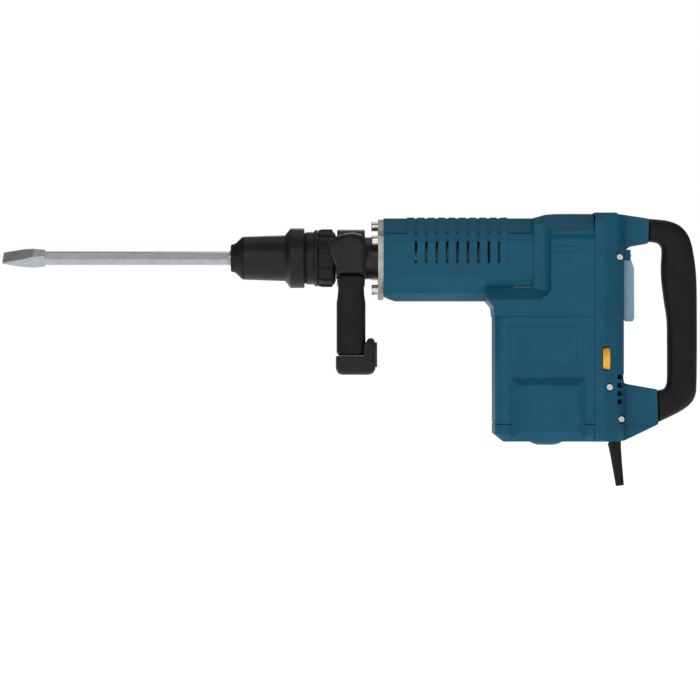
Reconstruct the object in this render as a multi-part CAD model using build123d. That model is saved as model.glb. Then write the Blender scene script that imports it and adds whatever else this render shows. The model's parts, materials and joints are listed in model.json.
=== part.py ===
from build123d import *
from math import asin, cos, degrees, pi, radians, sin, sqrt, tan
import os

os.makedirs("parts", exist_ok=True)

# An electric demolition hammer with a flat chisel: the hammer mechanism lies level, the motor stands
# below its rear end, and a closed handle joins both at the back.
# Everything is laid out from the front face of the dust cap, with X running back along the hammer
# axis, Y to the right and Z up. The finished pieces are shifted so that the middle of the rear grip
# is the origin.

# ---- Driving dimensions (mm) ----

# Fits and gaps
RUN_FIT = 0.05            # radial clearance of a sliding or turning fit
GAP = 0.4                 # clearance between pieces that pass each other
SEAM = 0.4                # joint line between two casings

# Chisel
SHANK_R = 9.0
SHANK_LENGTH = 90.0
BAR_FLATS = 15.2          # across the flats of the six-sided bar
BAR_TURN = 11.0           # how the flats are turned about the axis, degrees
CHISEL_REACH = 279.0      # dust cap face to cutting edge
BLADE_LENGTH = 25.0
FLARE_LENGTH = 26.5
BLADE_WIDTH = 25.0
BLADE_THICK = 11.0
EDGE_THICK = 1.6
BLADE_TURN = 31.0
CHISEL_PLAY = 15.0        # how far a locked tool can slide forward
SPLINE_WIDTH = 4.2
SPLINE_DEPTH = 2.5
STAMP_DEPTH = 0.5         # blank stamped frame on the bar

# Tool holder and locking parts
NOSE_R = 15.2             # holder outside the rollers
HOLDER_R = 20.0           # holder behind the rollers
HOLDER_END = 172.0
CAP_LENGTH = 16.2
CAP_R = 26.4
SLEEVE_R = 28.1
COLLAR_R = 36.6
COLLAR_FRONT = 72.6
COLLAR_BACK = 89.9
SLEEVE_TRAVEL = 7.5
ROLLER_R = 4.5
ROLLER_LENGTH = 6.0
ROLLER_AXIS = 10.9
ROLLER_LIFT = 3.0
ROLLER_MID = 60.0
RING_FRONT = 92.2
RING_STEP_R = 32.3
RING_RIDGE = 101.5
RIDGE_R = 34.8
RING_R = 33.2
RING_BACK = 128.4
RING_TRAVEL = 3.5
LATCHES = 12              # chisel positions, and ribs on the adjusting ring
LATCH_RISE = 1.5

# Neck, flange and its bolts
NECK_R = 26.0
NECK_WALL = 4.0
FLANGE_FRONT = 180.0
FLANGE_THICK = 6.5
FLANGE_R = 52.0
BOLT_CIRCLE = 44.3
BOLT_TURN = 28.0
BOLT_R = 4.0
BOLT_HEAD_R = 6.2
BOLT_HEAD = 8.0
BOLT_REACH = 26.0

# Percussion mechanism
PIN_R = 15.0
PIN_TAIL_R = 10.0
PIN_TRAVEL = 8.0
CYLINDER_R = 21.0
CYLINDER_WALL = 3.0
CASE_WALL = 4.0           # cast gear case
CYLINDER_BACK = 318.0
RAM_LENGTH = 35.0
RAM_FORWARD = 5.0
RAM_BACK = 12.0
PISTON_LENGTH = 30.0
PISTON_CROWN = 6.0
WRIST_R = 4.0
ROD_LENGTH = 66.0
ROD_THICK = 12.0
THROW = 14.0
CRANK_PIN_R = 5.0
DISC_R = 24.0
DISC_THICK = 10.0
CRANK_SHAFT_R = 10.0
SEAL_WIDTH = 3.0
SEAL_DEPTH = 2.4

# Gears
MODULE = 1.2
PINION_TEETH = 9
GEAR_TEETH = 57
GEAR_WIDTH = 12.0
BACKLASH = 0.35

# Motor
MOTOR_AXIS_BACK = 199.0   # flange rear face to motor axis
SHAFT_R = 6.0
BEARING_WIDTH = 10.0
FAN_R = 42.0
FAN_WIDTH = 12.0
FAN_BLADES = 9
CORE_R = 27.0
CORE_LENGTH = 62.0
AIR_GAP = 1.0
STATOR_R = 45.0
COMMUTATOR_R = 15.0
COMMUTATOR_LENGTH = 18.0
COMMUTATOR_BARS = 24
BRUSH_LENGTH = 20.0
BRUSH_SIZE = 8.0

# Casings
WALL = 3.0
BARREL_WIDTH = 97.0
BARREL_TOP = 47.9
BARREL_CREASE = 30.0
BARREL_BOTTOM = 52.8
BARREL_LENGTH = 181.4
FLARE = 21.0
BODY_WIDTH = 122.0
BODY_TOP = 53.2
BODY_SEAM = 71.7          # below the axis, where the motor casing begins
BODY_BACK = 255.5         # flange rear face to the rear casing
LEDGE_TOP = 36.3
LEDGE_FALL = 15.1
LEDGE_CORNER = 5.0
LEDGE_FRONT = 123.5       # flange rear face to the ledge over the motor
MOTOR_FRONT = 134.3
MOTOR_CORNER = 15.0
MOTOR_WIDTH = 120.0
MOTOR_BOTTOM = 202.0
CAP_BOTTOM = 223.5
CAP_BEVEL = 9.0
EDGE_BEVEL = 10.0          # top rim of the rear casing
FOOT_BEVEL = 4.0
DOME_R = 20.5
DOME_DROP = 4.8
RIBS = 10
RIB_PITCH = 12.6
RIB_WIDTH = 8.4
RIB_RISE = 1.0
LIP = 1.2                 # how far the roof stands out over the sides
BOSS_TOP = 18.7
BOSS_DROP = 10.0
RIB_START = 33.0
RIB_FOOT = 9.4
VENT_WIDTH = 2.7
VENT_TOP = 19.1
VENT_FOOT = 6.6
COVER_WIDTH = 88.4        # brush cover along the tool
COVER_TOP = 147.5
COVER_FOOT = 220.0
COVER_RISE = 7.0
COVER_BEVEL = 8.0
PLATE_TOP = 84.0          # recess for a rating plate, left blank
PLATE_FOOT = 131.0
PLATE_LENGTH = 81.5
PLATE_RISE = 0.8

# Rear casing, arms and grip
WALL_BACK = 292.5         # flange rear face to the rear wall inside the handle
ARM_WIDTH = 40.0
GRIP_WIDTH = 35.0
GRIP_JOINT_TOP = 324.5    # flange rear face to the upper grip joint
GRIP_JOINT_FOOT = 335.5
GRIP_BACK = 384.0
GRIP_THICK = 37.0
LOWER_ARM = 158.0         # top of the lower arm below the axis
LOWER_ARM_FOOT = 205.0

# Switch paddle, speed dial, vents, screws
PADDLE_WIDTH = 26.0
PADDLE_TOP = 1.0
PADDLE_FOOT = 77.5
PADDLE_THICK = 11.0
PADDLE_PIVOT_R = 2.5
PADDLE_SWING = 4.0
DIAL_R = 14.0
DIAL_WIDTH = 8.5
DIAL_DROP = 122.8
DIAL_PROUD = 4.6
SCREW_R = 2.4
SCREW_HEAD_R = 4.2
SCREW_REACH = 16.0         # depth of the casing screws past the middle
LOUVRES = 4
LOUVRE_PITCH = 10.0

# Cable sleeve
SLEEVE_LENGTH = 55.3
SLEEVE_TOP_R = 8.6
SLEEVE_TIP_R = 5.1
SLEEVE_BORE_R = 3.8
SLEEVE_LEAN = 7.4

# Side handle
BAND_WIDTH = 34.0
BAND_WALL = 9.0
BAND_FRONT = 130.0
LEG_SPREAD = 62.0         # axis to each leg
LEG_WIDTH = 35.5
LEG_THICK = 30.0
LOOP_TOP = 12.0
LOOP_FOOT = 142.7
BASE_HEIGHT = 23.0
WHEEL_R = 15.0
WHEEL_WIDTH = 13.0
WHEEL_KNURLS = 10
CLAMP_BOLT_R = 4.0
LUG_HALF = 12.0

# ---- Places worked out from them ----

shell_x = FLANGE_FRONT + FLANGE_THICK
barrel_end = shell_x + BARREL_LENGTH
block_x = barrel_end + FLARE
body_end = shell_x + BODY_BACK
wall_x = shell_x + WALL_BACK
motor_x = shell_x + MOTOR_AXIS_BACK
motor_front = shell_x + MOTOR_FRONT
ledge_x = shell_x + LEDGE_FRONT
gear_r = MODULE * GEAR_TEETH / 2
pinion_r = MODULE * PINION_TEETH / 2
crank_x = motor_x - gear_r - pinion_r
wrist_x = crank_x - THROW - ROD_LENGTH
piston_front = wrist_x - PISTON_CROWN - 11.0
ram_back = piston_front - RAM_BACK - 2.0
ram_front = ram_back - RAM_LENGTH
pin_back = ram_front - RAM_FORWARD - PIN_TRAVEL - 1.0
pin_front = SHANK_LENGTH + GAP
holder_bore_x = pin_front + 20.0
gear_top = -33.0
gear_foot = gear_top - GEAR_WIDTH
floor_top = gear_foot - 11.0
floor_foot = floor_top - BEARING_WIDTH
web_top = -ROD_THICK / 2 - 2.5 - DISC_THICK - 1.5
web_foot = web_top - BEARING_WIDTH
disc_top = -ROD_THICK / 2 - 2.5
case_half = gear_r + MODULE + 3.0
case_back = motor_x + pinion_r + 9.0
fan_top = -BODY_SEAM - 3.0
core_top = fan_top - FAN_WIDTH - 12.0
core_foot = core_top - CORE_LENGTH
comm_top = core_foot - 12.0
comm_foot = comm_top - COMMUTATOR_LENGTH
rear_bearing_top = comm_foot - 9.0
shaft_foot = rear_bearing_top - BEARING_WIDTH
grip_back = shell_x + GRIP_BACK
grip_mid_x = grip_back - GRIP_THICK / 2 - 1.0
grip_mid_z = -(LOWER_ARM_FOOT - BARREL_TOP) / 2 + 4.0
origin = (grip_mid_x, 0, grip_mid_z)
barrel_half = BARREL_WIDTH / 2
body_half = BODY_WIDTH / 2
motor_half = MOTOR_WIDTH / 2


# ---- Shape helpers ----

def turned(points):
    """Ring or shaft about the hammer axis, from (x, radius) points."""
    return revolve(make_face(Polyline(*points, close=True)), Axis.X)


def upright(x, points):
    """Ring or shaft about a standing axis at x, from (radius, z) points."""
    outline = make_face(Plane.XZ * Polyline(*[(x + r, z) for r, z in points], close=True))
    return revolve(outline, Axis((x, 0, 0), (0, 0, 1)))


def rod_x(x0, x1, r, y=0, z=0):
    """Round bar along X."""
    return Plane((x0, y, z), x_dir=(0, 1, 0), z_dir=(1, 0, 0)) * extrude(Circle(r), x1 - x0)


def rod_y(y0, y1, r, x, z):
    """Round bar along Y."""
    return Plane((x, y0, z), x_dir=(1, 0, 0), z_dir=(0, 1, 0)) * extrude(Circle(r), y1 - y0)


def rod_z(z0, z1, r, x, y=0):
    """Round bar along Z."""
    return Pos(x, y, z0) * extrude(Circle(r), z1 - z0)


def block(x0, x1, y0, y1, z0, z1):
    """Box between two corners."""
    return Pos((x0 + x1) / 2, (y0 + y1) / 2, (z0 + z1) / 2) * Box(x1 - x0, y1 - y0, z1 - z0)


def side_face(points, rounding=0):
    """Face in the side view, from (x, z) points."""
    face = make_face(Plane.XZ * Polyline(*points, close=True))
    return fillet(face.vertices(), rounding) if rounding else face


def side_plate(points, y0, y1, rounding=0):
    """Side-view outline given a thickness from y0 to y1."""
    face = side_face(points, rounding)
    return Pos(0, y1, 0) * extrude(face, y1 - y0, dir=(0, -1, 0))


def cross_plate(points, x0, x1, rounding=0):
    """Front-view outline of (y, z) points, run along X from x0 to x1."""
    face = make_face(Polyline(*points, close=True))
    if rounding:
        face = fillet(face.vertices(), rounding)
    return Plane((x0, 0, 0), x_dir=(0, 1, 0), z_dir=(1, 0, 0)) * extrude(face, x1 - x0)


def plan_plate(points, z0, z1):
    """Top-view outline of (x, y) points, run along Z from z0 to z1."""
    return Pos(0, 0, z0) * extrude(make_face(Polyline(*points, close=True)), z1 - z0)


def mirrored(right):
    """The same points followed back along the other side of the middle plane."""
    return right + [(-a, b) for a, b in reversed(right)]


def bearing(x, top, r_in, r_out):
    """Ball bearing on a standing axis: two races, a cage and balls in one sealed unit."""
    foot = top - BEARING_WIDTH
    third = (r_out - r_in) / 3
    inner = upright(x, [(r_in, foot), (r_in + third, foot), (r_in + third, top), (r_in, top)])
    outer = upright(x, [(r_out - third, foot), (r_out, foot), (r_out, top), (r_out - third, top)])
    shield = upright(x, [(r_in + third, foot + 1), (r_out - third, foot + 1),
                         (r_out - third, top - 1), (r_in + third, top - 1)])
    return inner + outer + shield


def gear_outline(teeth, turn):
    """Spur gear face with straight-flanked teeth; turn is in degrees."""
    pitch_r = MODULE * teeth / 2
    half = pi / (2 * teeth) - BACKLASH / (2 * pitch_r)
    tip_r = pitch_r + 0.8 * MODULE
    root_r = pitch_r - 1.05 * MODULE
    slope = tan(radians(22)) / pitch_r
    points = []
    for tooth in range(teeth):
        mid = radians(turn) + 2 * pi * tooth / teeth
        root_half = half + slope * (pitch_r - root_r)
        tip_half = half - slope * (tip_r - pitch_r)
        for r, angle in ((root_r, mid - root_half), (tip_r, mid - tip_half),
                         (tip_r, mid + tip_half), (root_r, mid + root_half)):
            points.append((r * cos(angle), r * sin(angle)))
    return make_face(Polyline(*points, close=True))


# ---- Chisel ----

def chisel():
    neck_x = -CHISEL_REACH + BLADE_LENGTH + FLARE_LENGTH
    blade_x = -CHISEL_REACH + BLADE_LENGTH
    bar = Plane((neck_x - 4, 0, 0), x_dir=(0, 1, 0), z_dir=(1, 0, 0)) * extrude(
        RegularPolygon(BAR_FLATS / 2, 6, major_radius=False), -neck_x + 3)
    bar = Rot(BAR_TURN, 0, 0) * bar
    shank = rod_x(-2, SHANK_LENGTH, SHANK_R)
    shank = chamfer(shank.edges().sort_by(Axis.X)[-1], 1.5)
    half = BAR_FLATS / 2
    thin = side_plate([(neck_x, half), (neck_x - 14, half), (blade_x, BLADE_THICK / 2),
                       (-CHISEL_REACH, EDGE_THICK / 2), (-CHISEL_REACH, -EDGE_THICK / 2),
                       (blade_x, -BLADE_THICK / 2), (neck_x - 14, -half), (neck_x, -half)],
                      -BLADE_WIDTH, BLADE_WIDTH)
    wide = plan_plate([(neck_x, -half), (neck_x, half), (blade_x, BLADE_WIDTH / 2),
                       (-CHISEL_REACH, BLADE_WIDTH / 2), (-CHISEL_REACH, -BLADE_WIDTH / 2),
                       (blade_x, -BLADE_WIDTH / 2)], -20, 20)
    head = Rot(BLADE_TURN, 0, 0) * (thin & wide)
    tool = bar + shank + head
    groove_front = ROLLER_MID - ROLLER_LENGTH / 2 - 1
    groove_back = ROLLER_MID + ROLLER_LENGTH / 2 + CHISEL_PLAY + 1
    for side in (-1, 1):
        tool -= rod_x(groove_front, groove_back, ROLLER_R + RUN_FIT, side * ROLLER_AXIS)
    for angle in (90, 230, 310):
        tool -= Rot(angle, 0, 0) * block(36, SHANK_LENGTH + 1, SHANK_R - SPLINE_DEPTH, SHANK_R + 1,
                                         -SPLINE_WIDTH / 2, SPLINE_WIDTH / 2)
    frame = Rot(BAR_TURN, 0, 0) * (block(-35, -13, -half - 1, -half + STAMP_DEPTH, -3, 3)
                                   - block(-34, -14, -half - 2, -half + 2, -2.2, 2.2))
    return tool - frame


# ---- Tool holder ----

def holder_tube():
    body = turned([(5, SHANK_R + RUN_FIT), (5, NOSE_R), (84, NOSE_R), (84, HOLDER_R),
                   (HOLDER_END, HOLDER_R), (HOLDER_END, PIN_R + RUN_FIT),
                   (holder_bore_x, PIN_R + RUN_FIT), (holder_bore_x, SHANK_R + RUN_FIT)])
    for side in (-1, 1):
        body -= block(ROLLER_MID - ROLLER_LENGTH / 2 - RUN_FIT, ROLLER_MID + ROLLER_LENGTH / 2 + RUN_FIT,
                      *sorted((side * SHANK_R * 0.6, side * (NOSE_R + 2))),
                      -ROLLER_R - RUN_FIT, ROLLER_R + RUN_FIT)
    for angle in (90, 230, 310):
        rib = Rot(angle, 0, 0) * block(42, 68, SHANK_R - SPLINE_DEPTH + GAP, SHANK_R + 2,
                                       -SPLINE_WIDTH / 2 + 0.2, SPLINE_WIDTH / 2 - 0.2)
        body += rib
    return body


def dust_cap():
    cap = turned([(0, SHANK_R + 1.2), (0, 16.4), (5.5, 17.6), (10.5, 22.4), (14.5, CAP_R),
                  (CAP_LENGTH, CAP_R), (CAP_LENGTH, NOSE_R), (5, NOSE_R), (5, SHANK_R + 1.2)])
    return cap


def retaining_ring():
    return turned([(CAP_LENGTH + GAP, NOSE_R), (CAP_LENGTH + GAP, NOSE_R + 2.6),
                   (CAP_LENGTH + 2.4, NOSE_R + 2.6), (CAP_LENGTH + 2.4, NOSE_R)])


def holder_bearing():
    """Needle sleeve on which the holder turns inside the neck."""
    return turned([(140, HOLDER_R + 0.02), (140, NECK_R - NECK_WALL - 0.03),
                   (162, NECK_R - NECK_WALL - 0.03), (162, HOLDER_R + 0.02)])


def locking_sleeve():
    """Pulled back to free the chisel; its collar is hollow and slides over the ring behind."""
    front = CAP_LENGTH + GAP
    inner = SLEEVE_R - 3.6
    outer = turned([(front, inner), (front, CAP_R), (COLLAR_FRONT - 6.2, SLEEVE_R),
                    (COLLAR_FRONT, COLLAR_R - 0.6), (COLLAR_FRONT + 0.8, COLLAR_R),
                    (COLLAR_BACK - 0.8, COLLAR_R), (COLLAR_BACK, COLLAR_R - 0.8),
                    (COLLAR_BACK, RING_STEP_R + GAP), (COLLAR_FRONT + 3, RING_STEP_R + GAP),
                    (COLLAR_FRONT - 2, inner)])
    return outer


def lock_ring():
    """Steel ring inside the locking sleeve whose tapered bore holds the rollers in."""
    back = ROLLER_MID + ROLLER_LENGTH / 2
    slope = ROLLER_LIFT / SLEEVE_TRAVEL + 0.05
    bore = ROLLER_AXIS + ROLLER_R + RUN_FIT
    front = back - 12
    return turned([(front, bore + slope * 12), (front, SLEEVE_R - 3.6), (back + 1, SLEEVE_R - 3.6),
                   (back + 1, bore), (back, bore)])


def roller(side):
    body = rod_x(ROLLER_MID - ROLLER_LENGTH / 2, ROLLER_MID + ROLLER_LENGTH / 2, ROLLER_R - RUN_FIT,
                 side * ROLLER_AXIS)
    return chamfer(body.edges().filter_by(GeomType.CIRCLE), 0.5)


def coil(x0, x1, mean_r, wire_r, turns):
    """Compression spring about the hammer axis, as separate closed hoops along a helix."""
    pitch = (x1 - x0 - 2 * wire_r) / turns
    path = Helix(pitch=pitch, height=x1 - x0 - 2 * wire_r, radius=mean_r)
    start = Plane(origin=path @ 0, z_dir=path % 0)
    wire = sweep(start * Circle(wire_r), path=path, is_frenet=True)
    return Pos(x0 + wire_r, 0, 0) * (Rot(0, 90, 0) * wire)


def adjusting_ring():
    """Turned with the holder to set the chisel angle; twelve pads mark the latch positions."""
    ring = turned([(RING_FRONT, HOLDER_R + GAP), (RING_FRONT, RING_STEP_R - 1), (RING_FRONT + 1, RING_STEP_R),
                   (RING_RIDGE, RING_STEP_R), (RING_RIDGE + 1.2, RIDGE_R - 0.6),
                   (RING_RIDGE + 3.9, RIDGE_R), (RING_RIDGE + 7.1, RING_R),
                   (RING_BACK - 3.1, RING_R), (RING_BACK, RING_R - 5.0),
                   (RING_BACK, HOLDER_R + GAP)])
    for index in range(LATCHES):
        pad = block(RING_RIDGE + 6, RING_BACK - 4, -5.2, 5.2, RING_R - 2, RING_R + LATCH_RISE)
        pad = chamfer(pad.faces().sort_by(Axis.Z)[-1].edges(), 0.9)
        ring += Rot(360 / LATCHES * index, 0, 0) * pad
    return ring


# ---- Neck and flange ----

def neck_sleeve():
    inner = NECK_R - NECK_WALL
    return turned([(RING_BACK + 0.4, inner), (RING_BACK + 0.4, NECK_R - 1), (RING_BACK + 1.4, NECK_R),
                   (FLANGE_FRONT, NECK_R), (FLANGE_FRONT, inner)])


def bolt_places():
    for index in range(4):
        angle = radians(BOLT_TURN + 45 - 90 * index + 45)
        yield BOLT_CIRCLE * sin(angle), BOLT_CIRCLE * cos(angle)


def flange_plate():
    corner = cross_plate(barrel_section(-1.5), FLANGE_FRONT, shell_x)
    plate = corner & rod_x(FLANGE_FRONT, shell_x, FLANGE_R)
    plate -= rod_x(FLANGE_FRONT - 1, shell_x + 1, CYLINDER_R + CYLINDER_WALL)
    for y, z in bolt_places():
        plate -= rod_x(FLANGE_FRONT - 1, shell_x + 1, BOLT_R, y, z)
    return plate


def flange_bolts():
    bolts = []
    for y, z in bolt_places():
        head = rod_x(FLANGE_FRONT - BOLT_HEAD, FLANGE_FRONT, BOLT_HEAD_R, y, z)
        head = chamfer(head.edges().sort_by(Axis.X)[0], 0.8)
        socket = Plane((FLANGE_FRONT - BOLT_HEAD - 1, y, z), x_dir=(0, 1, 0), z_dir=(1, 0, 0)) * extrude(
            RegularPolygon(BOLT_R * 0.8, 6), BOLT_HEAD * 0.7)
        bolts.append(head + rod_x(FLANGE_FRONT, FLANGE_FRONT + BOLT_REACH, BOLT_R, y, z) - socket)
    return Compound(children=bolts)


# ---- Percussion mechanism ----

def grooved_seal(x, r):
    return turned([(x, r - SEAL_DEPTH), (x, r), (x + SEAL_WIDTH, r), (x + SEAL_WIDTH, r - SEAL_DEPTH)])


def percussion_pin():
    shoulder = holder_bore_x + 2
    body = turned([(pin_front, 0), (pin_front, SHANK_R - 1), (pin_front + 1, SHANK_R - RUN_FIT),
                   (shoulder, SHANK_R - RUN_FIT), (shoulder + 4, PIN_R), (shoulder + 38, PIN_R),
                   (shoulder + 42, PIN_TAIL_R), (pin_back, PIN_TAIL_R), (pin_back, 0)])
    return body - grooved_seal(shoulder + 20, PIN_R)


def cylinder():
    outer = CYLINDER_R + CYLINDER_WALL
    return turned([(FLANGE_FRONT + 1, PIN_TAIL_R + GAP), (FLANGE_FRONT + 1, outer),
                   (CYLINDER_BACK, outer), (CYLINDER_BACK, CYLINDER_R),
                   (shell_x + 4, CYLINDER_R), (shell_x + 4, PIN_TAIL_R + GAP)])


def ram():
    body = turned([(ram_front, 0), (ram_front, CYLINDER_R - 6), (ram_front + 4, CYLINDER_R - RUN_FIT),
                   (ram_back, CYLINDER_R - RUN_FIT), (ram_back, 0)])
    return body - grooved_seal(ram_back - 12, CYLINDER_R - RUN_FIT)


def piston():
    back = piston_front + PISTON_LENGTH
    body = turned([(piston_front, 0), (piston_front, CYLINDER_R - RUN_FIT),
                   (back, CYLINDER_R - RUN_FIT), (back, CYLINDER_R - 5),
                   (piston_front + PISTON_CROWN, CYLINDER_R - 5), (piston_front + PISTON_CROWN, 0)])
    body -= grooved_seal(piston_front + 1.5, CYLINDER_R - RUN_FIT)
    return body - rod_z(-CYLINDER_R, CYLINDER_R, WRIST_R, wrist_x)


def connecting_rod():
    big = crank_x - THROW
    half = ROD_THICK / 2
    body = rod_z(-half, half, WRIST_R + 4, wrist_x) + rod_z(-half, half, CRANK_PIN_R + 5, big)
    body += block(wrist_x, big, -4.5, 4.5, -half, half)
    body -= rod_z(-half - 1, half + 1, WRIST_R + RUN_FIT, wrist_x)
    return body - rod_z(-half - 1, half + 1, CRANK_PIN_R, big)


def crank_pin():
    return rod_z(disc_top + GAP, ROD_THICK / 2 + 1, CRANK_PIN_R, crank_x - THROW)


def crankshaft():
    body = upright(crank_x, [(0, floor_foot), (8, floor_foot), (8, gear_foot), (CRANK_SHAFT_R, gear_foot),
                             (CRANK_SHAFT_R, disc_top - DISC_THICK), (DISC_R, disc_top - DISC_THICK),
                             (DISC_R, disc_top), (0, disc_top)])
    return body


def crank_gear():
    turn = 0
    body = Pos(crank_x, 0, gear_foot) * extrude(gear_outline(GEAR_TEETH, turn), GEAR_WIDTH)
    for index in range(6):
        angle = radians(60 * index + 30)
        body -= rod_z(gear_foot - 1, gear_top + 1, 5, crank_x + 21 * cos(angle), 21 * sin(angle))
    return body - rod_z(gear_foot - 1, gear_top + 1, CRANK_SHAFT_R, crank_x)


def crank_bearings():
    return Compound(children=[bearing(crank_x, web_top, CRANK_SHAFT_R, CRANK_SHAFT_R + 9),
                              bearing(crank_x, floor_top, 8, 16)])


def gear_case(grow=0):
    """Outside of the gear case: round in front of the crank, with a narrower foot for the bearings."""
    half = case_half + CASE_WALL + grow
    back = case_back + grow
    top = CYLINDER_R + 6 + grow
    foot = gear_foot - 2 - grow
    body = rod_z(foot, top, half, crank_x) + block(crank_x, back, -half, half, foot, top)
    return body + block(crank_x - 22 - grow, back, -half, half, floor_foot - grow, gear_foot - 2 + grow)


def gear_housing():
    """Cast gear case: carries the cylinder, the crank bearings and the motor's front bearing."""
    front = crank_x - case_half - CASE_WALL
    back = case_back
    outer = CYLINDER_R + CYLINDER_WALL
    body = gear_case()
    round_part = rod_z(gear_foot - 0.8, CYLINDER_R + 2, case_half, crank_x)
    box_part = block(crank_x, back - CASE_WALL, -case_half, case_half, gear_foot - 0.8, CYLINDER_R + 2)
    web = block(crank_x - DISC_R + 1, back, -case_half, case_half, web_foot, web_top)
    body -= (round_part + box_part) - web
    body -= block(crank_x - 18, back - CASE_WALL, -case_half, case_half, floor_top, gear_foot)
    body += rod_x(shell_x + 40, front + 2, outer + 4)
    body -= rod_x(shell_x + 30, CYLINDER_BACK + 1, outer)
    body -= rod_z(web_foot - 1, web_top + 1, CRANK_SHAFT_R + 9, crank_x)
    body -= rod_z(floor_foot - 1, floor_top + 1, 16, crank_x)
    return body - rod_z(floor_foot - 1, floor_top + 1, 14, motor_x)


# ---- Motor ----

def armature_shaft():
    shaft = upright(motor_x, [(0, shaft_foot), (SHAFT_R - 1, shaft_foot), (SHAFT_R - 1, rear_bearing_top),
                              (SHAFT_R, rear_bearing_top), (SHAFT_R, gear_foot - 2),
                              (pinion_r - 1.3 * MODULE, gear_foot - 2), (pinion_r - 1.3 * MODULE, gear_top + 1),
                              (0, gear_top + 1)])
    turn = 180 + 180 / PINION_TEETH
    teeth = Pos(motor_x, 0, gear_foot - 1) * extrude(gear_outline(PINION_TEETH, turn), GEAR_WIDTH + 1)
    return shaft + teeth


def fan():
    disc = upright(motor_x, [(SHAFT_R, fan_top - FAN_WIDTH), (14, fan_top - FAN_WIDTH), (14, fan_top - 3),
                             (FAN_R, fan_top - 2), (FAN_R, fan_top), (SHAFT_R, fan_top)])
    for index in range(FAN_BLADES):
        blade = block(13, FAN_R, -1, 1, fan_top - FAN_WIDTH, fan_top - 1)
        disc += Pos(motor_x, 0, 0) * (Rot(0, 0, 360 / FAN_BLADES * index) * blade)
    return disc


def armature_core():
    return upright(motor_x, [(SHAFT_R, core_foot), (CORE_R, core_foot), (CORE_R, core_top), (SHAFT_R, core_top)])


def armature_winding():
    upper = upright(motor_x, [(SHAFT_R, core_top), (CORE_R - 5, core_top), (CORE_R - 7, core_top + 8),
                              (SHAFT_R, core_top + 8)])
    lower = upright(motor_x, [(SHAFT_R, core_foot), (SHAFT_R, core_foot - 9), (CORE_R - 8, core_foot - 9),
                              (CORE_R - 5, core_foot)])
    return Compound(children=[upper, lower])


def commutator():
    body = upright(motor_x, [(SHAFT_R, comm_foot), (COMMUTATOR_R, comm_foot), (COMMUTATOR_R, comm_top),
                             (SHAFT_R, comm_top)])
    for index in range(COMMUTATOR_BARS):
        slot = block(COMMUTATOR_R - 1, COMMUTATOR_R + 1, -0.3, 0.3, comm_foot - 1, comm_top + 1)
        body -= Pos(motor_x, 0, 0) * (Rot(0, 0, 360 / COMMUTATOR_BARS * index) * slot)
    return body


def stator():
    inner = CORE_R + AIR_GAP
    body = upright(motor_x, [(inner, core_foot), (STATOR_R, core_foot), (STATOR_R, core_top), (inner, core_top)])
    for side in (-1, 1):
        flat = block(motor_x - STATOR_R - 1, motor_x + STATOR_R + 1, *sorted((side * 41, side * 60)),
                     core_foot - 1, core_top + 1)
        body -= flat
    return body


def field_coils():
    coils = []
    inner = CORE_R + AIR_GAP + 1
    for top, foot in ((core_top + 8, core_top), (core_foot, core_foot - 8)):
        ring = upright(motor_x, [(inner, foot), (STATOR_R - 6, foot), (STATOR_R - 6, top), (inner, top)])
        coils.append(ring)
    return Compound(children=coils)


def motor_bearings():
    return Compound(children=[bearing(motor_x, floor_top, SHAFT_R, 14),
                              bearing(motor_x, rear_bearing_top, SHAFT_R - 1, 12)])


def brush_holders():
    mid = (comm_top + comm_foot) / 2
    wall = BRUSH_SIZE / 2 + 2
    holders = []
    for side in (-1, 1):
        start, end = COMMUTATOR_R + 2, motor_half - WALL
        tube = block(motor_x - wall, motor_x + wall, *sorted((side * start, side * end)), mid - wall - 2, mid + wall + 2)
        tube -= block(motor_x - BRUSH_SIZE / 2, motor_x + BRUSH_SIZE / 2, *sorted((side * (start - 1), side * (end - 6))),
                      mid - BRUSH_SIZE / 2 - 2, mid + BRUSH_SIZE / 2 + 2)
        holders.append(tube)
    return Compound(children=holders)


def carbon_brushes():
    mid = (comm_top + comm_foot) / 2
    start = COMMUTATOR_R + 0.1
    return Compound(children=[
        block(motor_x - BRUSH_SIZE / 2, motor_x + BRUSH_SIZE / 2, *sorted((side * start, side * (start + BRUSH_LENGTH))),
              mid - BRUSH_SIZE / 2 - 2, mid + BRUSH_SIZE / 2 + 2) for side in (-1, 1)])


# ---- Casings ----

def barrel_section(grow=0):
    """Front view of the barrel: flat roof, sloping shoulders, nearly upright sides, rounded belly."""
    half = barrel_half + grow
    right = [(26 + grow * 0.5, BARREL_TOP + grow), (half - 2.5, BARREL_CREASE + grow * 0.6), (half, BARREL_CREASE - 12),
             (half, -22), (half - 9, -BARREL_BOTTOM + 9 - grow * 0.6), (half - 24, -BARREL_BOTTOM - grow)]
    return mirrored(right)


def eaves_section(half, top, crease, foot, belly, roof_half, grow=0):
    """Casing section whose roof overhangs the sides in a small lip, with rounded corners."""
    half = half + grow
    top, crease = top + grow, crease + grow * 0.5
    right = [(roof_half, top), (half - 1.2, crease + LIP), (half - 1.8, crease), (half - 3.2, crease - LIP),
             (half, crease - 9), (half, foot)]
    if belly:
        right += [(half - 9, -belly + 9 - grow), (half - 24, -belly - grow)]
    roundings = [9, 0.5, 0, 2, 6, 13 if belly else 0.3] + ([12, 10] if belly else [])
    points = mirrored(right)
    face = make_face(Polyline(*points, close=True))
    for (y, z), rounding in zip(right, roundings):
        if rounding:
            corners = [v for v in face.vertices() if abs(abs(v.X) - y) < 0.01 and abs(v.Y - z) < 0.01]
            face = fillet(corners, rounding)
    return face


def run_along(face, x0, x1):
    """A front-view face given a length along X."""
    return Plane((x0, 0, 0), x_dir=(0, 1, 0), z_dir=(1, 0, 0)) * extrude(face, x1 - x0)


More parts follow.
